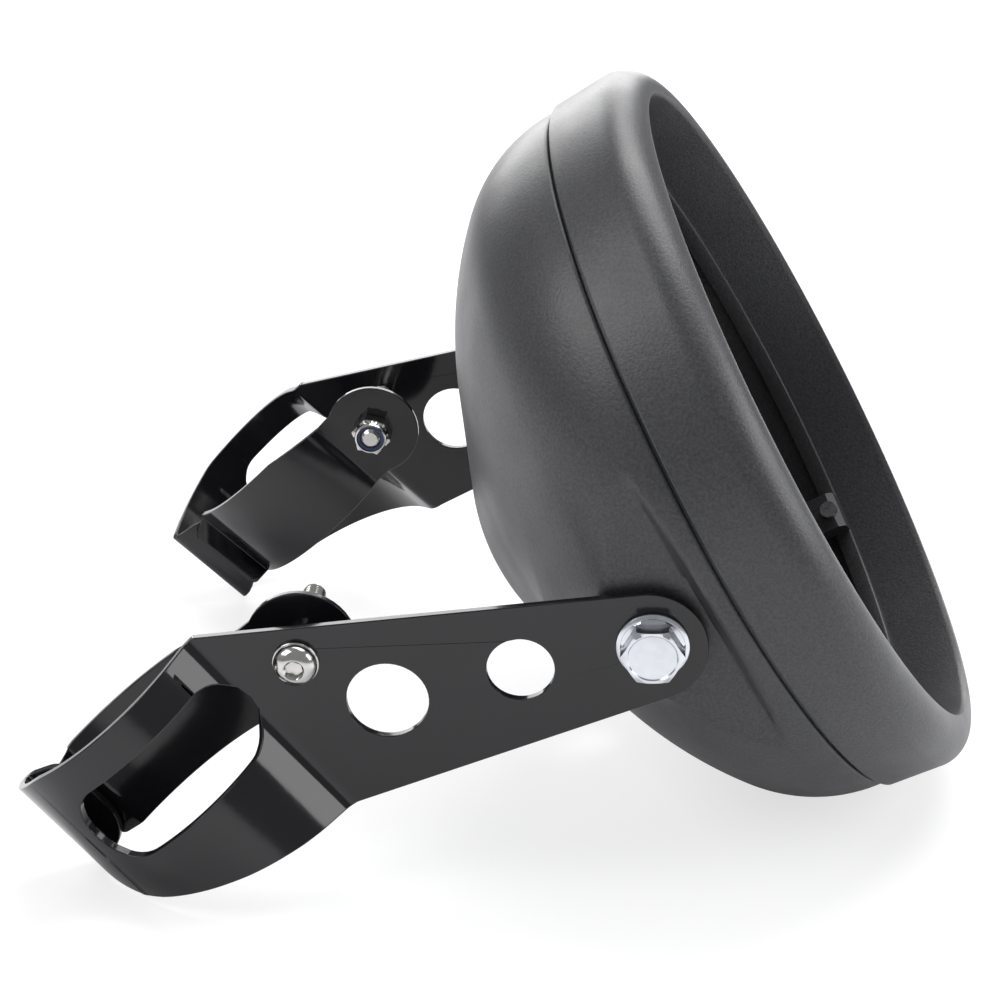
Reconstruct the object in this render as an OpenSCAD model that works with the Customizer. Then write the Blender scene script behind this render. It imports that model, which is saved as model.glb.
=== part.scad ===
// Motorcycle headlight housing with its trim ring and two fork brackets.
// Lengths are in millimetres. Each piece is drawn in the headlight's own frame: +X forward along the
// lamp axis, +Y to the left and +Z up, with the origin where the lamp axis crosses the pivot line.
// The whole is then laid down as it rests on a flat surface, on both fork clamps and the lower rim.

/* [Housing] */
// Step from the ring's skirt in to the bucket
bucket_step = 1.3; // [0.8:0.1:3]
// Wall of the bucket
bucket_wall = 2.2; // [1.6:0.1:2.6]
// Radius of the bucket's shoulder, seen from the side
shoulder_r = 40; // [36:1:44]
// Radius of the bucket's flank behind the shoulder
flank_r = 105; // [98:1:112]
// Distance from the pivot line forward to the seam
seam_x = 23; // [21:0.5:26]
// Width of the groove between bucket and ring
seam_gap = 1.2; // [0.8:0.1:2]
// Length of the bucket's spigot inside the ring
spigot_len = 7; // [5:0.5:8]
// Radius of the side bosses that carry the brackets
boss_r = 13.5; // [12:0.5:14]
// Diameter of the cable hole in the back
cable_hole_d = 22; // [16:1:28]

/* [Trim ring] */
// Radius of the ring at the seam
ring_r = 98.5; // [90:0.1:108]
// Rise from the seam to the largest radius, at the lip
lip_rise = 0.8; // [0.3:0.1:2]
// Radius of the lip's rounding
lip_r = 9; // [8:0.5:10]
// Distance from the seam to the front of the lip
ring_len = 24; // [23:0.5:28]
// Step from the ring's skirt in to the lamp opening
ring_face = 9.5; // [9:0.1:11]
// Wall of the ring's skirt
skirt_wall = 2.4; // [1.8:0.1:2.6]
// Wall of the ring's inner sleeve
sleeve_wall = 2; // [1.5:0.1:2.4]
// Depth of the sleeve behind the front of the lip
sleeve_depth = 17.4; // [15:0.2:18]

/* [Retaining ring] */
// Step from the opening in to the retaining ring
retainer_step = 1.7; // [1:0.1:2.5]
// Thickness of the retaining ring along the lamp axis
retainer_t = 5; // [4:0.5:6]
// Width of a clip
clip_w = 11; // [9:0.5:14]
// How far a clip reaches in
clip_h = 6.5; // [5:0.5:8]
// Length of a clip along the lamp axis
clip_len = 9; // [7:0.5:12]

/* [Brackets] */
// Thickness of the bracket's steel
plate_t = 2; // [1.5:0.1:2.5]
// Distance from the ring's edge in to the outer face of a bracket
bracket_inset = 6.8; // [6:0.1:7.5]
// Radius of the round end
end_r = 14; // [13:0.5:14.5]
// Distance from the pivot to the bend
bend_x = 83.2; // [80:0.2:88]
// Angle between the bracket's length and the fork
fork_tilt = 39; // [36:1:42]
// Length of the bend
bend_len = 57.8; // [56:0.2:62]
// Height of the bend's middle over the pivot, along the fork
bend_mid = 40.2; // [38:0.2:42]
// Diameter of the small hole
hole_small_d = 16; // [12:0.5:18]
// Diameter of the large hole
hole_large_d = 19.6; // [14:0.1:21]
// How far the right bracket is raised from the lamp axis, in degrees
lift_right = 28.2; // [26:0.1:30]
// How far the left bracket is raised from the lamp axis, in degrees
lift_left = 21.8; // [20:0.1:24]

/* [Fork clamp] */
// Radius of the fork tube that the clamp takes
fork_r = 31; // [30:0.5:32]
// Flat stretch between the bend and the arc
flare_len = 5.5; // [4:0.5:7]
// Angle of the flat stretch to the plate
flare_deg = 54; // [50:1:56]
// How far the outer half reaches round the fork, in degrees
wrap_deg = 132; // [128:1:134]
// Length of the flange behind the hook's bend
hook_len = 12; // [11:0.5:13]
// Width of the hook's flange
hook_w = 27; // [26:0.5:30]
// Width of the window in the outer half
window_w = 22; // [18:0.5:24]
// Width of the inner strap
strap_w = 24; // [20:0.5:25]
// Thickness of the inner strap
strap_t = 1.6; // [1.2:0.1:1.8]
// Radius of the strap's curve
strap_r = 45; // [42:1:48]
// Gap between the right bracket and its strap's ear
ear_gap_right = 9; // [8:0.5:12]
// Gap between the left bracket and its strap's ear
ear_gap_left = 27; // [24:0.5:28]

/* [Fasteners] */
// Diameter of the pivot bolt
pivot_d = 8; // [6:1:8]
// Width across the flats of the pivot bolt's head
pivot_af = 13; // [12:0.5:13]
// Diameter of the pivot bolt's flange
pivot_flange_d = 17.2; // [16.8:0.2:18]
// Diameter of the clamp bolt
clamp_d = 6; // [5:0.5:6]
// Length of the clamp bolt under its head
clamp_len = 36; // [35.5:0.5:40]

/* [Hidden] */
$fn = 96;

// The headlight lies nose up and rolled a little
rest_pitch = 30.73;
rest_roll = 5.73;
rest_at = [31.04, 1.66, 78.19];

// Radial clearances: of a turning fit, of a bolt in its hole and between nested walls
turn_fit = 0.05;
bolt_slip = 0.25;
nest_slip = 0.3;
// How stretches of sheet that meet are lapped into each other
skin = 0.012;
lap = 0.15;
lap_deg = 2.9;
arc_step = 3;
far = 400;

// Radii that follow the ring
bucket_r = ring_r - bucket_step;
lip_top_r = ring_r + lip_rise;
opening_r = ring_r - ring_face;
bracket_y = ring_r - bracket_inset;

// Bucket
rim_x = seam_x - seam_gap / 2;
shoulder_x = rim_x - 1;
shoulder_deg = 45;
flank_deg = 66;
nose_r = 57;
spacer_t = 1.6;
pad_y = bracket_y - plate_t - spacer_t;
pad_front = 14;
boss_base_r = boss_r + 9.5;
boss_base_y = pad_y - 26;
cable_hole_at = [-33.9, -42];
cable_hole_lean = 24;
grommet_z = 2;
grommet_wall = 4;

// Ring and retaining ring
ring_x = seam_x + seam_gap / 2;
lip_x = seam_x + ring_len;
sleeve_x = lip_x - sleeve_depth;
socket_r = ring_r - skirt_wall;
socket_x = ring_x + spigot_len + 3;
spigot_wall = 2.4;
spigot_root = 5;
retainer_r = opening_r - retainer_step;
clip_angles = [0, 135, 225];
clip_screw_r = 1.25;
ring_screw_r = 2;
ring_screw_x = ring_x + 4;
ring_nut_af = 7;
// The nut fills the space between the bucket's spigot and the ring's sleeve
screw_seat = 0.45;
nut_gap = [ring_r - opening_r - sleeve_wall - 0.1, ring_r - socket_r + nest_slip + spigot_wall + 0.1];
head_ratio = 1.9;
small_head_h = 2.1;

// Pivot bolts, with heights from the bracket's outer face
pivot_len = 20;
pivot_reach = 30;
pivot_head_h = 6.6;
flange_t = 1.2;
washer_r = 8.5;
washer_t = 1.6;
pad_in = pad_y - bucket_wall - bracket_y;
pivot_nut_h = 7.5;

// Clamp bolts, washers and nuts
head_h = 3.3;
head_r = clamp_d * 0.875;
head_foot = 0.8;
dome_drop = 3.94;
dome_r = 6.57;
clamp_washer_t = 1;
nut_af = 10;
nut_h = 4.6;
insert_h = 1.6;
insert_r = 4;

// Brackets
bend_r = 2;
fork_low = bend_mid - bend_len / 2;
fork_high = bend_mid + bend_len / 2;
bolt_at = [bend_x - 15.2, bend_mid + 8.8];
hole_small_at = [28.2, 14.3];
hole_large_at = [58.1, 27.7];
corner_cut = 3;
corner_drop = 0.8;
neck_x = [50, 60, 62, 52];
cut_h = 60;
slot_h = 8;
end_x = 1.4;
top_len = bend_x - corner_cut - end_x;
taper = 0.33;
hook_bend_r = 3;
hook_bend_deg = 117;
hook_e = bolt_at[1];
hook_corner = 5;
window_from = 1;
window_to = 46;
window_corner = 9;
tab_slot = [3, 15];
tab_neck_w = 10;
ear_r = 13.5;
ear_bend = -4;

// Clamp section, as [along, out] from the bend line on the plate's outer face
function dir(a) = [cos(a), sin(a)];
arc_r = fork_r + plate_t;
flare_at = bend_r * [0, 1] + bend_r * dir(flare_deg - 90);
arc_at = flare_at + flare_len * dir(flare_deg);
fork_c = arc_at + arc_r * dir(flare_deg - 90);
arc_from = flare_deg + 90;
arc_to = arc_from - wrap_deg;
hook_at = fork_c + arc_r * dir(arc_to);
hook_c = hook_at - hook_bend_r * dir(arc_to);
hook_to = arc_to - hook_bend_deg;
flange_at = hook_c + hook_bend_r * dir(hook_to);
flange_dir = hook_to - 90;
hook_tip = flange_at[0] + hook_len * cos(flange_dir) - 0.5;
tab_at = flange_at + (hook_len - 5) * dir(flange_dir);
strap_end = flange_at + (hook_len + 1.5) * dir(flange_dir) + (strap_t / 2 + 0.1) * dir(flange_dir + 90);

// A point at a distance from a centre, turned back from straight up
function turned(c, r, a) = c + r * [-sin(a), cos(a)];
function arc(c, r, a0, a1) = let(n = ceil(abs(a1 - a0) / arc_step))
    [for (i = [0:n]) turned(c, r, a0 + (a1 - a0) * i / n)];
// Where a line from a point touches a circle of radius r about the origin, on the left or right side
function touch(p, r, side) = r * dir(atan2(p[1], p[0]) + side * acos(r / norm(p)));

// Corners of a rounded rectangle
function rounded(w, h, r) = [for (q = [0:3], i = [0:6]) let(c = [q == 0 || q == 3 ? w - r : r, q < 2 ? h - r : r])
    c + r * dir(90 * q + 15 * i)];

// Outline of the bucket's back as [along, radius], inset by a wall: shoulder, flank, cone and nose
function bowl(inset) = let(
    c1 = [shoulder_x, bucket_r - shoulder_r],
    c2 = turned(c1, shoulder_r - flank_r, shoulder_deg),
    p2 = turned(c2, flank_r, flank_deg),
    run = (p2[1] - nose_r * cos(flank_deg)) / sin(flank_deg),
    p3 = p2 - run * dir(flank_deg),
    c3 = turned(p3, -nose_r, flank_deg))
    concat(arc(c1, shoulder_r - inset, 0, shoulder_deg),
        arc(c2, flank_r - inset, shoulder_deg + arc_step, flank_deg),
        arc([c3[0], 0], nose_r - inset, flank_deg, 90));

// Places a piece as it rests
module laid() translate(rest_at) rotate([rest_roll, -rest_pitch, 0]) children();
// Turns a profile of [radius, along] round the lamp axis
module lathe() rotate([0, 90, 0]) rotate_extrude() children();
// Places a piece at a clock angle round the lamp axis, drawn as if at the top
module at_clock(a) rotate([a, 0, 0]) children();
// Puts one side's piece in place, drawn with +X to the fork, +Y up and +Z outward
module side(s, lift = 0)
    mirror([0, s < 0 ? 1 : 0, 0]) rotate([0, lift, 0]) translate([0, bracket_y, 0]) rotate([90, 0, 180]) children();
module arm(s) side(s, s < 0 ? lift_right : lift_left) rotate(-fork_tilt) children();
// A round piece along +Z from z0 to z1
module rod(r, z0, z1) translate([0, 0, z0]) cylinder(r = r, h = z1 - z0);
module hex(af, z0, z1) translate([0, 0, z0]) cylinder(d = af / cos(30), h = z1 - z0, $fn = 6);
// A strip of the clamp section, from a point in a direction, with its thickness to the right.
// Stretches that meet are lapped, and each is a skin thinner than the one it runs into.
module strip(p, a, len, t) translate(p) rotate(a) translate([-lap, 2 * skin - t]) square([len + 2 * lap, t - 4 * skin]);
// A round stretch of the clamp section between two angles
module bend(c, r_in, r_out, a0, a1, thinner = 0, over = 0) translate(c) intersection() {
    difference() {
        circle(r_out - thinner);
        circle(r_in + thinner);
    }
    polygon([[0, 0], 3 * r_out * dir(a0 - over), 3 * r_out * dir((a0 + a1) / 2), 3 * r_out * dir(a1 + over)]);
}
// A length of a section along the fork, between two heights
module along_fork(low, high) translate([bend_x, high, 0]) rotate([90, 0, 0]) linear_extrude(high - low) children();
module bowl_body()
    lathe() polygon(concat([[0, rim_x], [bucket_r, rim_x]], [for (p = bowl(0)) [max(p[1], 0), p[0]]]));
module bucket_outside() {
    bowl_body();
    lathe() translate([0, rim_x - spigot_root]) square([socket_r - nest_slip, spigot_root + seam_gap + spigot_len]);
    for (s = [-1, 1]) side(s) rod_cone(boss_base_r, boss_r, boss_base_y - bracket_y, pad_y - bracket_y);
}
module rod_cone(r0, r1, z0, z1) translate([0, 0, z0]) cylinder(r1 = r0, r2 = r1, h = z1 - z0);
module bucket_inside() {
    lathe() polygon(concat([[0, rim_x], [bucket_r - bucket_wall, rim_x]],
        [for (p = bowl(bucket_wall)) [max(p[1], 0), p[0]]]));
    for (s = [-1, 1])
        side(s) rod_cone(boss_base_r - bucket_wall, boss_r - bucket_wall,
            boss_base_y - bracket_y, pad_y - bucket_wall - bracket_y);
}
module between_pads(y, front) {
    translate([-far, -y, -far]) cube([far + front, 2 * y, 2 * far]);
    translate([front, -far, -far]) cube([far, 2 * far, 2 * far]);
}
module bucket() color("#2a2a2c") laid() difference() {
    intersection() {
        bucket_outside();
        between_pads(pad_y, pad_front);
    }
    intersection() {
        bucket_inside();
        between_pads(pad_y - bucket_wall, pad_front + bucket_wall);
    }
    lathe() translate([0, rim_x - spigot_root]) square([socket_r - nest_slip - spigot_wall, far]);
    for (s = [-1, 1]) side(s) rod(pivot_d / 2 + turn_fit, -pivot_reach, 0);
    cable_place() rod(cable_hole_d / 2, -cable_hole_d, cable_hole_d);
    bottom_place() rod(ring_screw_r + bolt_slip, -10, 10);
}
module cable_place() translate([cable_hole_at[0], 0, cable_hole_at[1]]) rotate([0, -90 - cable_hole_lean, 0]) children();
module bottom_place() translate([ring_screw_x, 0, -ring_r]) rotate([180, 0, 0]) children();

module trim_ring() color("#303032") laid() difference() {
    lathe() {
        polygon([[socket_r, ring_x], [ring_r, ring_x], [lip_top_r, lip_x - lip_r],
            [opening_r, lip_x - lip_r], [opening_r, sleeve_x], [opening_r + sleeve_wall, sleeve_x],
            [opening_r + sleeve_wall, socket_x], [socket_r, socket_x]]);
        intersection() {
            translate([lip_top_r - lip_r, lip_x - lip_r]) circle(lip_r);
            translate([opening_r, lip_x - lip_r - 1]) square([2 * lip_r, 2 * lip_r]);
        }
    }
    bottom_place() rod(ring_screw_r + bolt_slip, -20, 10);
}

module retaining_ring() color("#232325") laid() difference() {
    lathe() translate([retainer_r, sleeve_x - retainer_t]) square([opening_r + sleeve_wall - retainer_r, retainer_t]);
    for (a = clip_angles) at_clock(a) clip_place() rod(clip_screw_r + bolt_slip, -1, 10);
}
// The clips stand on the retaining ring's inner face
module clip_place() translate([sleeve_x - retainer_t / 2, 0, retainer_r]) children();
module clip(a) color("#2c2c2e") laid() at_clock(a) difference() {
    intersection() {
        translate([sleeve_x - clip_len, -clip_w / 2, retainer_r - clip_h]) cube([clip_len, clip_w, 2 * clip_h]);
        lathe() polygon([[retainer_r - clip_h, sleeve_x - clip_len], [retainer_r - clip_h, sleeve_x - 2],
            [retainer_r - clip_h + 2, sleeve_x], [retainer_r, sleeve_x], [retainer_r, sleeve_x - clip_len]]);
    }
    clip_place() rod(clip_screw_r + bolt_slip, -20, 10);
}
module clip_top() clip(clip_angles[0]);
module clip_left() clip(clip_angles[1]);
module clip_right() clip(clip_angles[2]);
module clip_screws() color("#8c8d90") laid() for (a = clip_angles) at_clock(a) clip_place() {
    rod(clip_screw_r, -clip_h - 0.5, opening_r + sleeve_wall - retainer_r);
    rod(clip_screw_r * head_ratio, -clip_h - small_head_h, -clip_h);
}

// A screw at the bottom joins the ring to the bucket's spigot
module ring_screw() color("#46464a") laid() bottom_place() {
    rod(ring_screw_r, -nut_gap[0], screw_seat + 0.5);
    rod(ring_screw_r * head_ratio, screw_seat, screw_seat + small_head_h);
}
module ring_nut() color("#8c8d90") laid() bottom_place() difference() {
    hex(ring_nut_af, -nut_gap[0], -nut_gap[1]);
    rod(ring_screw_r, -20, 10);
}

// A rubber grommet lines the cable hole, its flange shaped to the bucket
module cable_grommet() color("#18181a") laid() difference() {
    union() {
        difference() {
            cable_place() rod(cable_hole_d / 2 + 3, -3, grommet_z);
            bowl_body();
        }
        cable_place() rod(cable_hole_d / 2, -bucket_wall - 2, grommet_z);
    }
    cable_place() rod(cable_hole_d / 2 - grommet_wall, -20, 20);
}

module pivot_bolt(s) color("#c8cacc") laid() side(s) {
    rod(pivot_d / 2, -pivot_len, 0.5);
    rod(pivot_flange_d / 2, 0, flange_t);
    rod_cone(pivot_flange_d / 2 - 0.4, pivot_af / 2 + 0.4, flange_t, flange_t + 1.2);
    hex(pivot_af, flange_t, pivot_head_h);
}
module pivot_bolt_right() pivot_bolt(-1);
module pivot_bolt_left() pivot_bolt(1);
module pivot_spacer(s) color("#2a2a2c") laid() side(s) difference() {
    rod(washer_r, -plate_t - spacer_t, -plate_t);
    rod(pivot_d / 2 + turn_fit, -10, 10);
}
module pivot_spacer_right() pivot_spacer(-1);
module pivot_spacer_left() pivot_spacer(1);
module pivot_washer(s) color("#b0b2b4") laid() side(s) difference() {
    rod(washer_r, pad_in - washer_t, pad_in);
    rod(pivot_d / 2 + turn_fit, -pivot_reach, 10);
}
module pivot_washer_right() pivot_washer(-1);
module pivot_washer_left() pivot_washer(1);
module pivot_nut(s) color("#c0c2c4") laid() side(s) difference() {
    hex(pivot_af, pad_in - washer_t - pivot_nut_h, pad_in - washer_t);
    rod(pivot_d / 2, -pivot_reach, 10);
}
module pivot_nut_right() pivot_nut(-1);
module pivot_nut_left() pivot_nut(1);

// The flat part of a bracket, from the round end to the bend
module plate_outline() difference() {
    union() {
        translate([end_x, 0]) circle(end_r);
        translate([end_x, 0]) polygon([touch([top_len, fork_high], end_r, 1), [top_len, fork_high],
            [bend_x - end_x, fork_high - corner_drop], [bend_x - end_x, fork_low],
            touch([bend_x - end_x, fork_low], end_r, -1)]);
    }
    circle(pivot_d / 2 + turn_fit);
    translate(hole_small_at) circle(d = hole_small_d);
    translate(hole_large_at) circle(d = hole_large_d);
    translate(bolt_at) circle(clamp_d / 2 + bolt_slip);
}
module clamp_section() {
    bend([0, bend_r], bend_r, bend_r + plate_t, -90, flare_deg - 90, skin, lap_deg);
    strip(flare_at, flare_deg, flare_len, plate_t);
    bend(fork_c, fork_r, arc_r, arc_to, arc_from);
}
module hook_section() {
    bend(hook_c, hook_bend_r - plate_t, hook_bend_r, hook_to, arc_to, skin, lap_deg);
    strip(flange_at, flange_dir, hook_len, plate_t);
}
// The flange's free corners are cut off
module hook_outline() let(half = hook_w / 2 - hook_corner)
    polygon([[0, -half], [far, -half - far], [far, half + far], [0, half]]);
// The outer half narrows toward the hook, from its lower edge
module clamp_outline() translate([bend_x, 0]) polygon([[-3, fork_low - 3 * taper], [neck_x[0], fork_low + neck_x[0] * taper],
    [neck_x[1], hook_e - hook_w / 2 + 1], [far, hook_e], [neck_x[2], hook_e + hook_w / 2 + 1], [neck_x[3], fork_high],
    [corner_cut, fork_high], [0, fork_high - corner_drop], [-3, fork_high - corner_drop]]);
module bracket(s) color("#161618") laid() arm(s) difference() {
    union() {
        translate([0, 0, -plate_t]) linear_extrude(plate_t) plate_outline();
        intersection() {
            along_fork(fork_low, fork_high) clamp_section();
            translate([0, 0, -far]) linear_extrude(2 * far) clamp_outline();
        }
        intersection() {
            along_fork(hook_e - hook_w / 2, hook_e + hook_w / 2) hook_section();
            translate([bend_x + hook_tip, hook_e, -far]) linear_extrude(2 * far) hook_outline();
        }
    }
    translate([bend_x + window_from, bolt_at[1] - window_w / 2, -plate_t - bend_r])
        linear_extrude(cut_h) polygon(rounded(window_to - window_from, window_w, window_corner));
    translate([bend_x, 0, 0] + [tab_at[0], hook_e - tab_slot[1] / 2, tab_at[1] - slot_h / 2])
        cube([tab_slot[0], tab_slot[1], slot_h]);
}
module bracket_right() bracket(-1);
module bracket_left() bracket(1);

// Section of the strap as [along, out], from its ear to its hooked end
module strap_section(gap) {
    a = [ear_bend, -gap - strap_t / 2];
    b = strap_end;
    half = norm(b - a) / 2;
    c = (a + b) / 2 + sqrt(strap_r * strap_r - half * half) * dir(atan2(b[1] - a[1], b[0] - a[0]) + 90);
    a0 = atan2(a[1] - c[1], a[0] - c[0]);
    a1 = atan2(b[1] - c[1], b[0] - c[0]);
    bend(c, strap_r - strap_t / 2, strap_r + strap_t / 2, a0, a1);
    translate(a) circle(strap_t / 2 + skin);
    translate(b) circle(strap_t / 2 + skin);
}
module clamp_strap(s, gap) color("#161618") laid() arm(s) difference() {
    union() {
        translate([0, 0, -gap - strap_t]) linear_extrude(strap_t) {
            translate(bolt_at) circle(ear_r);
            translate([bolt_at[0], bolt_at[1] - strap_w / 2]) square([bend_x + ear_bend - bolt_at[0], strap_w]);
        }
        along_fork(hook_e - strap_w / 2, hook_e + strap_w / 2) strap_section(gap);
        along_fork(hook_e - tab_neck_w / 2, hook_e + tab_neck_w / 2) translate(strap_end)
            rotate(flange_dir + 180) translate([0, -strap_t / 2]) square([5, strap_t]);
    }
    translate([bolt_at[0], bolt_at[1], -gap]) rod(clamp_d / 2 + bolt_slip, -far, far);
}
module clamp_strap_right() clamp_strap(-1, ear_gap_right);
module clamp_strap_left() clamp_strap(1, ear_gap_left);

module at_bolt(s) laid() arm(s) translate([bolt_at[0], bolt_at[1], 0]) children();
module clamp_bolt(s) color("#c8cacc") at_bolt(s) difference() {
    union() {
        rod(clamp_d / 2, clamp_washer_t - clamp_len, clamp_washer_t + 0.5);
        rod(head_r, clamp_washer_t, clamp_washer_t + head_foot);
        translate([0, 0, clamp_washer_t + head_foot]) intersection() {
            translate([0, 0, -dome_drop]) sphere(dome_r);
            rod(head_r, 0, head_h - head_foot);
        }
    }
    hex(4, clamp_washer_t + head_h - 2, 10);
}
module clamp_bolt_right() clamp_bolt(-1);
module clamp_bolt_left() clamp_bolt(1);
module clamp_washer(s) color("#b0b2b4") at_bolt(s) difference() {
    rod(clamp_d, 0, clamp_washer_t);
    rod(clamp_d / 2 + bolt_slip, -1, 2);
}
module clamp_washer_right() clamp_washer(-1);
module clamp_washer_left() clamp_washer(1);
module clamp_nut(s, gap) color("#c0c2c4") at_bolt(s) translate([0, 0, -gap - strap_t]) difference() {
    union() {
        hex(nut_af, -nut_h, 0);
        rod(insert_r + 0.7, -nut_h - insert_h, -0.5);
    }
    rod(clamp_d / 2, -20, 1);
    rod(insert_r, -nut_h - insert_h - 1, -nut_h);
}
module clamp_nut_right() clamp_nut(-1, ear_gap_right);
module clamp_nut_left() clamp_nut(1, ear_gap_left);
module nut_insert(s, gap) color("#20305a") at_bolt(s) translate([0, 0, -gap - strap_t - nut_h]) difference() {
    rod(insert_r, 0.3 - insert_h, 0);
    rod(clamp_d / 2, -20, 1);
}
module nut_insert_right() nut_insert(-1, ear_gap_right);
module nut_insert_left() nut_insert(1, ear_gap_left);

bucket();
trim_ring();
retaining_ring();
clip_top();
clip_left();
clip_right();
clip_screws();
ring_screw();
ring_nut();
cable_grommet();
pivot_bolt_right();
pivot_bolt_left();
pivot_spacer_right();
pivot_spacer_left();
pivot_washer_right();
pivot_washer_left();
pivot_nut_right();
pivot_nut_left();
bracket_right();
bracket_left();
clamp_strap_right();
clamp_strap_left();
clamp_bolt_right();
clamp_bolt_left();
clamp_washer_right();
clamp_washer_left();
clamp_nut_right();
clamp_nut_left();
nut_insert_right();
nut_insert_left();
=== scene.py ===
import bpy, bmesh, math
import numpy as np
from mathutils import Matrix, Vector
from mathutils.geometry import delaunay_2d_cdt


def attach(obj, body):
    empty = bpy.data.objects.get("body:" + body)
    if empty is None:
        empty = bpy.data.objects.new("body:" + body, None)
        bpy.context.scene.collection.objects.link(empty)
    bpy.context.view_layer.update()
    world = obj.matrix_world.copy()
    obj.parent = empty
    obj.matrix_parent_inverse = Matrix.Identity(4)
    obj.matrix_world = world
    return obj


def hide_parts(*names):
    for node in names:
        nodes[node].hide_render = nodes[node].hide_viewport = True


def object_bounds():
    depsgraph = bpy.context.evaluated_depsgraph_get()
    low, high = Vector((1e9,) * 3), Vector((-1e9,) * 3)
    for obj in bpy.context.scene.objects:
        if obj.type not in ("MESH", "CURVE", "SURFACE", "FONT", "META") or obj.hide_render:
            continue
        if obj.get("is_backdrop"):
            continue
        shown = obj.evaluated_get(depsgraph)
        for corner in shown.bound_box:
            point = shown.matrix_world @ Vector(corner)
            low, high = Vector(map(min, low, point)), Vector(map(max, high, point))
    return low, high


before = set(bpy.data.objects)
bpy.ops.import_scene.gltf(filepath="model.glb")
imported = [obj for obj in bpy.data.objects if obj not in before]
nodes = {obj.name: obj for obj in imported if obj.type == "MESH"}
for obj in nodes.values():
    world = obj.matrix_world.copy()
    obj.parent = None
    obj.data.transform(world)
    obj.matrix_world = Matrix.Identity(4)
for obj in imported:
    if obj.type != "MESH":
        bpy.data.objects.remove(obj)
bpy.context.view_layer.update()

# Camera: solved from the photograph's ellipses and edges
cam_data = bpy.data.cameras.new("camera")
cam = bpy.data.objects.new("camera", cam_data)
bpy.context.scene.collection.objects.link(cam)
right = Vector((0.993867, 0.108662, 0.020525))
up = Vector((-0.057595, 0.350187, 0.934907))
back = Vector((0.094401, -0.930355, 0.354298))
aim = Matrix((right, up, back)).transposed().to_4x4()
cam.matrix_world = Matrix.Translation((0.052149, -0.608365, 0.301493)) @ aim
cam_data.sensor_width = 36
cam_data.lens = 87.8846
cam_data.clip_start = 0.01
bpy.context.scene.camera = cam
bpy.context.scene.view_settings.view_transform = "Standard"


def nodes_of(name):
    """A new material with its nodes, its links and its shader."""
    mat = bpy.data.materials.new(name)
    mat.use_nodes = True
    return mat, mat.node_tree.nodes, mat.node_tree.links, mat.node_tree.nodes["Principled BSDF"]


def noise(n, l, scale, detail):
    """Noise in the object's own space."""
    co = n.new("ShaderNodeTexCoord")
    t = n.new("ShaderNodeTexNoise")
    t.inputs["Scale"].default_value = scale
    t.inputs["Detail"].default_value = detail
    l.new(co.outputs["Object"], t.inputs["Vector"])
    return t.outputs["Fac"]


def spread(colour, dark, light):
    """Ramp stops from a darker to a lighter tone of a colour."""
    return [(0.3, tuple(c * dark for c in colour)), (0.7, tuple(c * light for c in colour))]


def ramp(n, l, fac, stops):
    """Colours or greys at (place, value) stops."""
    r = n.new("ShaderNodeValToRGB")
    e = r.color_ramp.elements
    while len(e) < len(stops):
        e.new(0.5)
    for i, (p, c) in enumerate(stops):
        e[i].position = p
        e[i].color = (*c, 1) if isinstance(c, tuple) else (c, c, c, 1)
    l.new(fac, r.inputs["Fac"])
    return r.outputs["Color"]


def bump(n, l, height, strength, distance):
    b = n.new("ShaderNodeBump")
    b.inputs["Strength"].default_value = strength
    b.inputs["Distance"].default_value = distance
    l.new(height, b.inputs["Height"])
    return b.outputs["Normal"]


def sand_paint(name, colour, low, high):
    """Satin paint with a fine grain, with its roughness between two values."""
    mat, n, l, p = nodes_of(name)
    grain = noise(n, l, 1500, 2.0)
    cloud = noise(n, l, 60, 4.0)
    l.new(ramp(n, l, grain, spread(colour, 0.7, 1.35)), p.inputs["Base Color"])
    l.new(ramp(n, l, cloud, [(0.3, low), (0.7, high)]), p.inputs["Roughness"])
    l.new(bump(n, l, grain, 0.35, 0.0002), p.inputs["Normal"])
    return mat


def powder_coat(name, colour, low, high):
    """Glossy coat with a slight orange peel."""
    mat, n, l, p = nodes_of(name)
    peel = noise(n, l, 300, 2.0)
    cloud = noise(n, l, 40, 3.0)
    l.new(ramp(n, l, cloud, spread(colour, 0.85, 1.15)), p.inputs["Base Color"])
    l.new(ramp(n, l, cloud, [(0.3, low), (0.7, high)]), p.inputs["Roughness"])
    l.new(bump(n, l, peel, 0.08, 0.0002), p.inputs["Normal"])
    return mat


def metal(name, colour, low, high):
    """Bare or plated metal."""
    mat, n, l, p = nodes_of(name)
    p.inputs["Metallic"].default_value = 1
    wear = noise(n, l, 400, 3.0)
    l.new(ramp(n, l, wear, spread(colour, 0.9, 1)), p.inputs["Base Color"])
    l.new(ramp(n, l, wear, [(0.3, low), (0.7, high)]), p.inputs["Roughness"])
    return mat


def plastic(name, colour, low, high):
    """Moulded plastic or rubber."""
    mat, n, l, p = nodes_of(name)
    grain = noise(n, l, 900, 2.0)
    l.new(ramp(n, l, grain, spread(colour, 0.85, 1.15)), p.inputs["Base Color"])
    l.new(ramp(n, l, grain, [(0.3, low), (0.7, high)]), p.inputs["Roughness"])
    l.new(bump(n, l, grain, 0.1, 0.0001), p.inputs["Normal"])
    return mat


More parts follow.
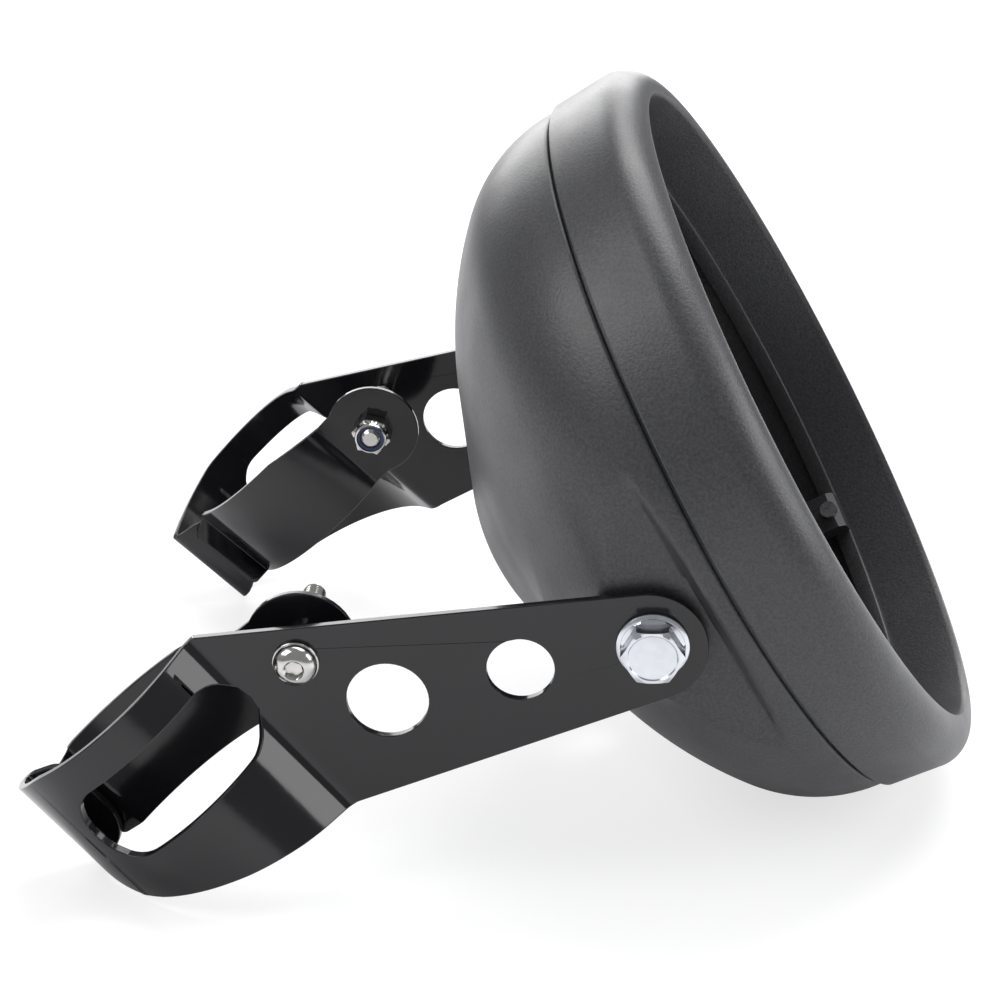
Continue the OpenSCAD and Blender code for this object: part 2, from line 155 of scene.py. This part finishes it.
black_shell = sand_paint("black_shell", (0.042, 0.042, 0.045), 0.36, 0.44)
black_ring = sand_paint("black_ring", (0.042, 0.042, 0.045), 0.36, 0.44)
# Painted shade: pieces inside the opening take the shell's paint at about half its tone, darker because
# they lie in shade
black_inner = sand_paint("black_inner", (0.02, 0.02, 0.022), 0.4, 0.5)
black_bracket = powder_coat("black_bracket", (0.008, 0.008, 0.0095), 0.1, 0.14)
zinc = metal("zinc", (0.7, 0.72, 0.76), 0.16, 0.26)
stainless = metal("stainless", (0.62, 0.61, 0.59), 0.12, 0.2)
screw_steel = metal("screw_steel", (0.5, 0.5, 0.5), 0.25, 0.35)
black_screw = powder_coat("black_screw", (0.02, 0.02, 0.02), 0.3, 0.4)
rubber = plastic("rubber", (0.02, 0.02, 0.02), 0.55, 0.7)
nylon = plastic("nylon", (0.03, 0.045, 0.12), 0.35, 0.45)

# Solids of the frame that show as they are
looks = {
    # the retaining ring and the clips take the darker copy of the paint, which is painted shade
    "bucket": black_shell, "trim_ring": black_ring, "retaining_ring": black_inner,
    "clip_top": black_inner, "clip_left": black_inner, "clip_right": black_inner,
    "clip_screws": screw_steel, "ring_nut": screw_steel, "ring_screw": black_screw, "cable_grommet": rubber,
}
for name, obj in nodes.items():
    if name in looks:
        mat = looks[name]
    elif "spacer" in name:
        mat = rubber
    elif "insert" in name:
        mat = nylon
    elif name.startswith("pivot"):
        mat = zinc
    elif name.startswith("clamp") and "strap" not in name:
        mat = stainless
    else:
        mat = black_bracket
    obj.data.materials.clear()
    obj.data.materials.append(mat)

# Measures of the part's source, in millimetres and degrees
bracket_y, plate_t, bend_x, fork_r, strap_t = 91.7, 2.0, 83.2, 31.0, 1.6
ring_r, lip_r, opening_r, ring_x, lip_x, sleeve_x = 98.5, 9.0, 89.0, 23.6, 47.0, 29.6
rest_at, rest_pitch, rest_roll = (31.04, 1.66, 78.19), 30.73, 5.73
arm_turn, lifts = 39, {-1: 28.2, 1: 21.8}
screw_x, screw_z = 68, 49
sides = ((-1, "right", 9.0), (1, "left", 27.0))  # with how far the strap stands from the plate

lay = (Matrix.Scale(0.001, 4) @ Matrix.Translation(rest_at)
       @ Matrix.Rotation(math.radians(-rest_pitch), 4, "Y")
       @ Matrix.Rotation(math.radians(rest_roll), 4, "X"))
axis = lay @ Matrix.Rotation(math.pi / 2, 4, "Y")


def side(s):
    """Place of a pivot: along the bracket, up, and out of the plate's face."""
    return (lay @ Matrix.Scale(s, 4, (0, 1, 0)) @ Matrix.Rotation(math.radians(lifts[s]), 4, "Y")
            @ Matrix.Translation((0, bracket_y, 0))
            @ Matrix.Rotation(math.pi, 4, "Z") @ Matrix.Rotation(math.pi / 2, 4, "X"))


def arm(s):
    """Place of a plate: along it from the pivot, up along the fork, and out."""
    return side(s) @ Matrix.Rotation(math.radians(-arm_turn), 4, "Z")


def add(name, verts, faces, place, mat, body, stands_for, sharp=35):
    """Make a piece from points in millimetres, laid by a matrix."""
    mesh = bpy.data.meshes.new(name)
    mesh.from_pydata([place @ Vector(v) for v in verts], [], faces)
    if place.determinant() < 0:
        mesh.flip_normals()
    mesh.validate()
    mesh.shade_smooth()
    if sharp:
        mesh.set_sharp_from_angle(angle=math.radians(sharp))
    mesh.materials.append(mat)
    obj = bpy.data.objects.new(name, mesh)
    bpy.context.scene.collection.objects.link(obj)
    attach(obj, body)
    if stands_for:
        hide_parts(*stands_for)
    return obj


def fillet(points, steps):
    """A closed outline from corners of (x, y, radius)."""
    out = []
    for i, (x, y, r) in enumerate(points):
        p = Vector((x, y))
        a = Vector(points[i - 1][:2]) - p
        b = Vector(points[(i + 1) % len(points)][:2]) - p
        if r <= 0:
            out.append(p)
            continue
        u, v = a.normalized(), b.normalized()
        half = u.angle(v) / 2
        if half > math.pi / 2 - 0.02:  # nearly straight
            out.append(p)
            continue
        cut = min(r / math.tan(half), a.length * 0.49, b.length * 0.49)
        r = cut * math.tan(half)
        c = p + (u + v).normalized() * (r / math.sin(half))
        a0 = math.atan2(*(p + u * cut - c).yx)
        a1 = math.atan2(*(p + v * cut - c).yx)
        sweep = (a1 - a0 + math.pi) % (2 * math.pi) - math.pi
        out += [c + r * Vector((math.cos(a0 + sweep * k / steps), math.sin(a0 + sweep * k / steps)))
                for k in range(steps + 1)]
    return [(q.x, q.y) for q in out]


def lathed(profile, count):
    """Points and faces of a closed profile of (radius, height) turned round the Z axis."""
    verts = [(r * math.cos(2 * math.pi * j / count), r * math.sin(2 * math.pi * j / count), z)
             for r, z in profile for j in range(count)]
    n = len(profile)
    faces = []
    for i in range(n):
        k = (i + 1) % n
        for j in range(count):
            m = (j + 1) % count
            faces.append((i * count + j, i * count + m, k * count + m, k * count + j))
    return verts, faces


def merge(*parts):
    """Join (points, faces) pairs into one."""
    verts, faces = [], []
    for v, f in parts:
        faces += [tuple(i + len(verts) for i in q) for q in f]
        verts += v
    return verts, faces


def rings_of(rings, cap_low=True, cap_high=True):
    """Join rings of equal count into a skin, with the ends closed."""
    count = len(rings[0])
    verts = [p for ring in rings for p in ring]
    faces = [(i * count + j, i * count + (j + 1) % count,
              (i + 1) * count + (j + 1) % count, (i + 1) * count + j)
             for i in range(len(rings) - 1) for j in range(count)]
    if cap_low:
        faces.append(tuple(reversed(range(count))))
    if cap_high:
        faces.append(tuple(range((len(rings) - 1) * count, len(rings) * count)))
    return verts, faces


ring_count = 72  # points round a fastener


def circle(r, z):
    steps = [2 * math.pi * j / ring_count for j in range(ring_count)]
    return [(r * math.cos(a), r * math.sin(a), z) for a in steps]


def hexagon(flats, z, crest=1e9, slope=0.0):
    """A six-sided ring whose corners are turned off beyond a radius."""
    ring = []
    for j in range(ring_count):
        a = 2 * math.pi * j / ring_count
        r = flats / 2 / math.cos((a % (math.pi / 3)) - math.pi / 6)
        ring.append((r * math.cos(a), r * math.sin(a), z - slope * max(0.0, r - crest)))
    return ring


def thread(r, pitch, low, high):
    """A screw thread with a chamfered end at the low side."""
    count, per_pitch = 40, 8
    n = int((high - low) / pitch * per_pitch)
    rings = []
    for i in range(n + 1):
        z = low + (high - low) * i / n
        ring = []
        for j in range(count):
            d = abs(2 * ((z / pitch - j / count) % 1) - 1)
            groove = 0.6 * pitch * max(0.0, min(1.0, 1.3 * d - 0.15))
            rr = min(r - groove, r - 0.9 * pitch + (z - low))
            a = 2 * math.pi * j / count
            ring.append((rr * math.cos(a), rr * math.sin(a), z))
        rings.append(ring)
    return rings_of(rings)


def inside(p, loop):
    """Whether a point lies inside an outline."""
    hit = False
    for (x0, y0), (x1, y1) in zip(loop, loop[1:] + loop[:1]):
        if (y0 > p[1]) != (y1 > p[1]) and p[0] < (x1 - x0) * (p[1] - y0) / (y1 - y0) + x0:
            hit = not hit
    return hit


def bent_sheet(name, outline, holes, path, place, body, stands_for, thick):
    """Sheet metal: an unrolled outline with holes, bent along a path of (along, out) points.

    The outline is in (length along the path, height), and the path is the sheet's outer face.
    """
    snap, closest = 0.22, 0.05  # reach of a bend line, and least distance between points
    margin = 1  # how far a bend line runs past the outline
    lengths = [0.0]
    for a, b in zip(path, path[1:]):
        lengths.append(lengths[-1] + math.dist(a, b))
    start = path[0][0]
    lengths = [start + v for v in lengths]
    verts, edges = [], []
    for loop in [outline] + holes:
        base = len(verts)
        near = [(min(lengths[1:-1], key=lambda v: abs(v - x)), x, e) for x, e in loop]
        points = [(v if abs(v - x) < snap else x, e) for v, x, e in near]
        points = [p for i, p in enumerate(points) if math.dist(p, points[i - 1]) > closest]
        verts += [Vector(p) for p in points]
        edges += [(base + i, base + (i + 1) % len(points)) for i in range(len(points))]
    low = min(p[1] for p in outline) - margin
    high = max(p[1] for p in outline) + margin
    for v in lengths[1:-1]:
        verts += [Vector((v, low)), Vector((v, high))]
        edges.append((len(verts) - 2, len(verts) - 1))
    got = delaunay_2d_cdt(verts, edges, [], 0, 1e-5)
    flat = [tuple(p) for p in got[0]]
    faces = []
    for f in got[2]:
        c = (sum(flat[i][0] for i in f) / len(f), sum(flat[i][1] for i in f) / len(f))
        drawn = all(low + margin / 2 < flat[i][1] < high - margin / 2 for i in f)
        if drawn and inside(c, outline) and not any(inside(c, h) for h in holes):
            faces.append(tuple(f))
    used = sorted({i for f in faces for i in f})
    index = {v: i for i, v in enumerate(used)}
    points = []
    for i in used:
        x, e = flat[i]
        k = 0
        while k < len(lengths) - 2 and x > lengths[k + 1]:
            k += 1
        t = (x - lengths[k]) / (lengths[k + 1] - lengths[k])
        a, b = path[k], path[k + 1]
        points.append((a[0] + (b[0] - a[0]) * t, e, a[1] + (b[1] - a[1]) * t))
    faces = [tuple(index[i] for i in f) for f in faces]
    obj = add(name, points, faces, place, black_bracket, body, stands_for, sharp=0)
    solid = obj.modifiers.new("wall", "SOLIDIFY")
    solid.thickness = thick * 0.001
    solid.offset = -1
    solid.use_even_offset = True
    bevel = obj.modifiers.new("edge", "BEVEL")
    bevel.width = 0.0003
    bevel.segments = 3
    bevel.limit_method = "ANGLE"
    bevel.angle_limit = math.radians(50)
    bevel.use_clamp_overlap = False
    bevel.harden_normals = True


def turn(c, r, a0, a1, step):
    """Points of an arc in degrees, in steps of about the given size."""
    n = max(2, math.ceil(abs(a1 - a0) / step))
    return [(c[0] + r * math.cos(math.radians(a0 + (a1 - a0) * i / n)),
             c[1] + r * math.sin(math.radians(a0 + (a1 - a0) * i / n))) for i in range(n + 1)]


def away(p, a, d):
    """The point at an angle in degrees and a distance."""
    return (p[0] + d * math.cos(math.radians(a)), p[1] + d * math.sin(math.radians(a)))


def disc(x, y, r, count=48):
    steps = [2 * math.pi * i / count for i in range(count)]
    return [(x + r * math.cos(a), y + r * math.sin(a)) for a in steps]


# Brackets: a tapering plate with a round end, a bend, a flare, an arc round the fork tube and a hook
flare_deg, flare_len, hook_r, hook_deg, hook_len = 54, 4.23, 3.0, 117, 9.0
fork_low, fork_high = 11.3, 69.1
arc_r = fork_r + plate_t
arc_from = flare_deg + 90
fold_r, fold_x = 4.5, -1.28
flare_at = away((fold_x, fold_r), flare_deg - 90, fold_r)
arc_at = away(flare_at, flare_deg, flare_len)
fork_c = away(arc_at, flare_deg - 90, arc_r)
end_r, end_x = 14.04, 1.4


def at_arc(a):
    """Unrolled length at an angle of the arc."""
    return (bend_x + fold_x + fold_r * math.radians(flare_deg) + flare_len
            + arc_r * math.radians(arc_from - a))


def hook(wrap):
    """The hook's flange as a point and a direction, and the clamp's section.

    The section is in (along, out), on the sheet's outer face.
    """
    arc_to = arc_from - wrap
    centre = away(away(fork_c, arc_to, arc_r), arc_to + 180, hook_r)
    to = arc_to - hook_deg
    at = away(centre, to, hook_r)
    path = ([(-16 - bend_x, 0), (fold_x, 0)]
            + turn((fold_x, fold_r), fold_r, -90, flare_deg - 90, 6)[1:] + [arc_at]
            + turn(fork_c, arc_r, arc_from, arc_to, 2.4)[1:] + turn(centre, hook_r, arc_to, to, 9)[1:]
            + [away(at, to - 90, hook_len)])
    return at, to - 90, [(bend_x + a, z) for a, z in path]


def tangent(p, s):
    """Angle at which a line from a point touches the round end."""
    return math.degrees(math.atan2(p[1], p[0]) + s * math.acos(end_r / math.hypot(*p)))


def plate_outline(wrap):
    """The bracket's unrolled outline for an arc of the given angle."""
    top = tangent((bend_x - end_x, fork_high), 1)
    low = tangent((bend_x - end_x, fork_low), -1)
    hook_s = at_arc(arc_from - wrap)
    end_s = hook_s + hook_r * math.radians(hook_deg) + hook_len
    return fillet([(end_x + end_r * math.cos(math.radians(a)), end_r * math.sin(math.radians(a)), 0)
                   for a in [top + (low + 360 - top) * i / 40 for i in range(41)]]
                  + [(bend_x, fork_low, 6)]
                  + [(at_arc(a), fork_low + 0.33 * (fork_c[0] + arc_r * math.cos(math.radians(a))), 0)
                     for a in range(136, 60, -8)]
                  + [(at_arc(54), 28.6, 12), (at_arc(30), 36.5, 14), (end_s, 35.6, 11), (end_s, 62.4, 6),
                     (hook_s + 6, 64.5, 6), (at_arc(30), 66.5, 25), (at_arc(60), fork_high, 40),
                     (bend_x - 0.5, fork_high, 2)], 8)


window_from, window_to, window_low, window_high, window_r = bend_x - 0.2, at_arc(62), 38.2, 59.8, 10.9
window = fillet([(window_from, window_low, window_r), (window_to, window_low, window_r),
                 (window_to, window_high, window_r), (window_from, window_high, window_r)], 10)
screw_hole = disc(screw_x, screw_z, 3.3, 32)
holes = [disc(0, 0, 4.2), disc(28.2, 14.3, 8), disc(58.1, 27.7, 9.8), screw_hole, window]
wraps = {-1: 128, 1: 132}
for s, word, _ in sides:
    bent_sheet("plate_" + word, plate_outline(wraps[s]), holes, hook(wraps[s])[2], arm(s),
               "bracket_" + word, ["bracket_" + word], plate_t)

# Inner straps: an ear at the screw, a bend and a long curve to the hook
ear_r, curve_r, lap = 13.5, 45, 7.5
for s, word, gap in sides:
    a = (-4.0, -gap - 0.1)
    flange_at, out, _ = hook(wraps[s])
    out = math.radians(out)
    reach = hook_len + 1.5
    past = (flange_at[0] + reach * math.cos(out), flange_at[1] + reach * math.sin(out))
    b = (past[0] + 0.9 * math.cos(out + math.pi / 2), past[1] + 0.9 * math.sin(out + math.pi / 2))
    half = math.dist(a, b) / 2
    lean = math.degrees(math.atan2(b[1] - a[1], b[0] - a[0]))
    c = away(((a[0] + b[0]) / 2, (a[1] + b[1]) / 2), lean + 90, math.sqrt(curve_r * curve_r - half * half))
    a0 = math.degrees(math.atan2(a[1] - c[1], a[0] - c[0]))
    a1 = math.degrees(math.atan2(b[1] - c[1], b[0] - c[0]))
    curve = turn(c, curve_r, a0, a1, 3)[1:]
    route = ([(-30.2, -gap), (a[0] - 0.8, -gap), ((a[0] + curve[0][0]) / 2, (curve[0][1] - 2 * gap) / 3)]
             + curve[:-1]
             + [(b[0] * 0.8 + curve[-2][0] * 0.2, b[1] * 0.8 + curve[-2][1] * 0.2),
                (b[0] - math.cos(out), b[1] - math.sin(out)),
                (b[0] - lap * math.cos(out), b[1] - lap * math.sin(out))])
    route = [(bend_x + x, z) for x, z in route]
    long = sum(math.dist(p, q) for p, q in zip(route, route[1:])) + route[0][0]
    ear = [(screw_x + ear_r * math.cos(math.radians(t)), screw_z + ear_r * math.sin(math.radians(t)), 0)
           for t in range(64, 297, 8)]
    strap = fillet(ear + [(79, 37, 6), (90, 36.5, 20), (long, 37, 2), (long, 61, 2), (long - 9, 64.3, 8),
                          (98, 64.3, 20), (79, 61, 6)], 6)
    bent_sheet("strap_" + word, strap, [screw_hole], route, arm(s), "bracket_" + word,
               ["clamp_strap_" + word], strap_t)

# Clamp screws with their threads, washers and locking nuts
for s, word, gap in sides:
    place = arm(s) @ Matrix.Translation((screw_x, screw_z, 0))
    body = "bracket_" + word
    shank = thread(3.0, 1.0, -35.0, 0.9)
    dome = [(4.9, 1.0), (5.25, 1.25), (5.25, 1.7), (5.1, 2.3), (4.75, 2.95), (4.2, 3.5), (3.5, 3.95),
            (2.9, 4.2), (2.55, 4.28), (2.35, 4.15)]
    dome = [circle(*p) for p in dome] + [hexagon(4.0, 3.8), hexagon(4.0, 2.4), circle(1.2, 2.1)]
    v, f = merge(shank, rings_of(dome))
    add("screw_" + word, v, f, place, stainless, body, ["clamp_bolt_" + word], 40)
    v, f = lathed(fillet([(3.25, 0, 0.1), (5.6, 0, 0.3), (5.6, 1, 0.3), (3.25, 1, 0.1)], 3), 72)
    add("screw_washer_" + word, v, f, place, stainless, body, ["clamp_washer_" + word], 60)
    seat = -gap - strap_t
    nut = [circle(3.1, seat), circle(4.6, seat), hexagon(10, seat - 0.45, 5.1, -0.6),
           hexagon(10, seat - 4.3, 5.1, 0.6)]
    collar = [(4.75, 4.75), (4.7, 5.6), (4.45, 6.05), (4.05, 6.2), (3.95, 5.9), (3.95, 4.9), (3.05, 4.8)]
    nut += [circle(r, seat - z) for r, z in collar]
    v, f = rings_of([list(reversed(r)) for r in nut], False, False)
    add("lock_nut_" + word, v, f, place, stainless, body, ["clamp_nut_" + word], 30)
    v, f = lathed(fillet([(3.0, seat - 4.7, 0), (3.95, seat - 4.7, 0), (3.95, seat - 5.75, 0.2),
                          (3.0, seat - 5.75, 0.3)], 3), 64)
    add("nut_collar_" + word, v, f, place, nylon, body, ["nut_insert_" + word], 60)

# Pivot bolts: a chamfered hexagon on a washer flange
for s, word, _ in sides:
    flange = [(8.2, 0), (8.55, 0.15), (8.6, 0.55), (8.5, 1.0), (8.2, 1.25), (7.6, 1.45), (7.55, 1.6)]
    dish = [(6.2, 6.6), (5.9, 6.55), (5.6, 6.25), (5.2, 6.15), (2.5, 6.1), (1, 6.1)]
    head = ([circle(*p) for p in flange] + [hexagon(13, 2.0), hexagon(13, 6.55, 6.6, 0.75)]
            + [circle(*p) for p in dish])
    v, f = merge(rings_of(head), thread(4.0, 1.25, -19.8, 0.2))
    add("pivot_" + word, v, f, side(s), zinc, "housing", ["pivot_bolt_" + word], 30)

# Trim ring and retaining ring, turned
lip_c = (ring_r + 0.8 - lip_r, lip_x - lip_r)
lip = [(lip_c[0] + lip_r * math.cos(math.radians(a)), lip_c[1] + lip_r * math.sin(math.radians(a)))
       for a in (*range(0, 91, 5), 92, 94, 96)]
ring = ([(96.1, ring_x + 0.2), (96.4, ring_x), (98.2, ring_x), (98.5, ring_x + 0.35)] + lip
        + [(opening_r + 0.05, lip_x - 1.0), (opening_r, lip_x - 1.6), (opening_r, sleeve_x),
           (opening_r + 2, sleeve_x), (opening_r + 2, ring_x + 10), (96.1, ring_x + 10)])
v, f = lathed(ring, 288)
add("rim", v, f, axis, black_ring, "housing", ["trim_ring"], 30)
v, f = lathed(fillet([(87.3, 24.6, 0.5), (91, 24.6, 0), (91, 29.6, 0), (87.3, 29.6, 0.6)], 4), 192)
# the retainer takes the darker copy of the paint, which is painted shade
add("retainer", v, f, axis, black_inner, "housing", ["retaining_ring"], 40)

# Bucket: the turned bowl, a soft boss and a flat pad on each side, solved along rays from inside
rim_x, bowl_r, pad_y = 22.4, 97.2, 88.1
shoulder_r, flank_r, nose_r, shoulder_deg, flank_deg = 40, 105, 57, 45, 66


def bowl_line():
    """Outline of the bucket as (along, radius), from the rim to the nose."""
    a = (rim_x - 1, bowl_r - shoulder_r)
    step = shoulder_r - flank_r
    turned = math.radians(shoulder_deg)
    b = (a[0] - step * math.sin(turned), a[1] + step * math.cos(turned))
    arcs = [(a, shoulder_r, 1.5 * i) for i in range(31)]
    arcs += [(b, flank_r, shoulder_deg + 1.5 * i) for i in range(1, 15)]
    pts = [(rim_x, bowl_r)] + [(c[0] - r * math.sin(math.radians(t)), c[1] + r * math.cos(math.radians(t)))
                               for c, r, t in arcs]
    f = math.radians(flank_deg)
    end = pts[-1]
    run = (end[1] - nose_r * math.cos(f)) / math.sin(f)
    nose = (end[0] - run * math.cos(f), end[1] - run * math.sin(f))
    pts += [(end[0] + (nose[0] - end[0]) * k / 4, end[1] + (nose[1] - end[1]) * k / 4) for k in (1, 2, 3)]
    c = nose[0] + nose_r * math.sin(f)
    return pts + [(c - nose_r * math.sin(t), nose_r * math.cos(t))
                  for t in [f + (math.pi / 2 - f) * k / 8 for k in range(9)]]


line = np.array(bowl_line())


def bowl_depth(x, r):
    """Signed distance from the bowl's outline, below zero inside."""
    a, b = line[:-1], line[1:]
    d = b - a
    p = np.stack([x, r], -1)[..., None, :] - a
    t = np.clip((p * d).sum(-1) / (d * d).sum(-1), 0, 1)
    e = p - t[..., None] * d
    far = np.hypot(e[..., 0], e[..., 1])
    k = far.argmin(-1)
    pick = np.take_along_axis
    ex, er = (pick(e[..., i], k[..., None], -1)[..., 0] for i in (0, 1))
    side_of = np.where(d[k, 0] * er - d[k, 1] * ex < 0, 1, -1)
    return np.where(x < rim_x, far.min(-1) * side_of, r - bowl_r)


boss_r, boss_flare, boss_long, boss_blend = 13.5, 9.5, 26, 9
pad_from, pad_blend = 14, 0.7


def depth(p):
    """Distance outside the bucket's skin, about true near it."""
    x, y, z = p[..., 0], np.abs(p[..., 1]), p[..., 2]
    d = bowl_depth(x, np.hypot(y, z))
    t = np.clip((pad_y - y) / boss_long, 0, 1)
    boss = np.where(y > 40, (np.hypot(x, z) - (boss_r + boss_flare * t ** 1.6)) * 0.93, 50.0)
    h = np.clip(1 - np.abs(d - boss) / boss_blend, 0, 1)
    d = np.minimum(d, boss) - h * h * boss_blend / 4
    cut = np.minimum(y - pad_y, (pad_from + (y - pad_y) * 0.45 - x) * 0.9)
    h = np.clip(1 - np.abs(d - cut) / pad_blend, 0, 1)
    return np.maximum(d, cut) + h * h * pad_blend / 4


def stations(start, stop, step):
    """Angles from a start, at steps that depend on the angle."""
    out = [start]
    while out[-1] + step(out[-1]) < stop:
        out.append(out[-1] + step(out[-1]))
    return out


def rim_step(t):
    return 0.5 if t < 102 else 1.0 if t < 112 else 2.0


def pad_step(p):
    near = min(abs(p - 90), abs(p - 270))
    return 0.5 if near < 12 else 0.9 if near < 24 else 2.0


def shell_rings():
    """Rings of points on the bucket's skin, from the rim to the nose."""
    t = np.radians(stations(math.degrees(math.atan2(bowl_r, rim_x)), 178.5, rim_step))
    p = np.radians(stations(0.0, 359.6, pad_step))
    t, p = np.meshgrid(t, p, indexing="ij")
    ray = np.stack([np.cos(t), np.sin(t) * np.sin(p), np.sin(t) * np.cos(p)], -1)
    lo, hi = np.full(t.shape, 20.0), np.full(t.shape, 120.0)
    for _ in range(16):
        mid = (lo + hi) / 2
        out = depth(ray * mid[..., None]) > 0
        hi, lo = np.where(out, mid, hi), np.where(out, lo, mid)
    return [[tuple(q) for q in ring] for ring in (ray * lo[..., None]).tolist()]


hole_at, hole_to, hole_r = Vector((-33.9, 0, -42)), Vector((-0.9135, 0, -0.4067)), 11.3


def in_cable_hole(p):
    """Whether a point of the skin lies in the cable's hole at the back."""
    along = (p - hole_at).dot(hole_to)
    return (p - hole_at - hole_to * along).length < hole_r and along > -25


v, f = rings_of(shell_rings(), False, True)
f = [q for q in f if not in_cable_hole(sum((Vector(v[i]) for i in q), Vector()) / len(q))]
shell = add("shell", v, f, lay, black_shell, "housing", ["bucket"], 60)
wall = shell.modifiers.new("wall", "SOLIDIFY")
wall.thickness = 0.0022
wall.offset = -1
v, f = lathed(fillet([(93.4, 17.4, 0), (95.8, 17.4, 0), (95.8, 30.6, 0.5), (93.4, 30.6, 0.5)], 4), 192)
add("spigot", v, f, axis, black_shell, "housing", [], 40)

# Floor: white, and white to the camera but for the object's shadow
bm = bmesh.new()
bmesh.ops.create_grid(bm, x_segments=1, y_segments=1, size=3)
mesh = bpy.data.meshes.new("floor")
bm.to_mesh(mesh)
bm.free()
floor = bpy.data.objects.new("floor", mesh)
bpy.context.scene.collection.objects.link(floor)
mat, n, l, p = nodes_of("floor")
out = n["Material Output"]
path = n.new("ShaderNodeLightPath")
diff = n.new("ShaderNodeBsdfDiffuse")
diff.inputs["Color"].default_value = (0.85, 0.85, 0.86, 1)
glow = n.new("ShaderNodeEmission")
glow.inputs["Color"].default_value = (1, 1, 1, 1)
glow.inputs["Strength"].default_value = 1.25
seen = n.new("ShaderNodeMath")
seen.operation = "MULTIPLY"
seen.inputs[1].default_value = 0.55
l.new(path.outputs["Is Camera Ray"], seen.inputs[0])
mix = n.new("ShaderNodeMixShader")
l.new(seen.outputs[0], mix.inputs["Fac"])
l.new(diff.outputs[0], mix.inputs[1])
l.new(glow.outputs[0], mix.inputs[2])
l.new(mix.outputs[0], out.inputs["Surface"])
n.remove(p)
mesh.materials.append(mat)
floor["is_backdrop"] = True

# World: white to the camera, a plain studio to the object
world = bpy.data.worlds.new("studio")
bpy.context.scene.world = world
world.use_nodes = True
n, l = world.node_tree.nodes, world.node_tree.links
bg = n["Background"]
bg.inputs["Color"].default_value = (1, 1, 1, 1)
bg.inputs["Strength"].default_value = 1.0
path = n.new("ShaderNodeLightPath")
plain = n.new("ShaderNodeBackground")
plain.inputs["Color"].default_value = (0.96, 0.98, 1, 1)
plain.inputs["Strength"].default_value = 0.32
mix = n.new("ShaderNodeMixShader")
l.new(path.outputs["Is Camera Ray"], mix.inputs["Fac"])
l.new(plain.outputs[0], mix.inputs[1])
l.new(bg.outputs[0], mix.inputs[2])
l.new(mix.outputs[0], n["World Output"].inputs["Surface"])


def softbox(name, azimuth, height, distance, wide, tall, watts):
    """A rectangular lamp that faces the object, at an azimuth and height in degrees."""
    lamp = bpy.data.lights.new(name, "AREA")
    lamp.shape = "RECTANGLE"
    lamp.size, lamp.size_y, lamp.energy = wide, tall, watts
    obj = bpy.data.objects.new(name, lamp)
    bpy.context.scene.collection.objects.link(obj)
    a, h = math.radians(azimuth), math.radians(height)
    to = Vector((math.cos(a) * math.cos(h), math.sin(a) * math.cos(h), math.sin(h)))
    aim = to.to_track_quat("Z", "Y").to_matrix().to_4x4()
    obj.matrix_world = Matrix.Translation(to * distance + Vector((0, 0, 0.08))) @ aim


softbox("right", 0, 25, 1.2, 1.0, 0.6, 8)
softbox("top", 60, 66, 1.3, 1.1, 0.9, 17)
softbox("behind", 104, 20, 1.5, 1.3, 0.8, 15)
softbox("left", -150, 42, 1.5, 0.9, 0.8, 9)

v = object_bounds()
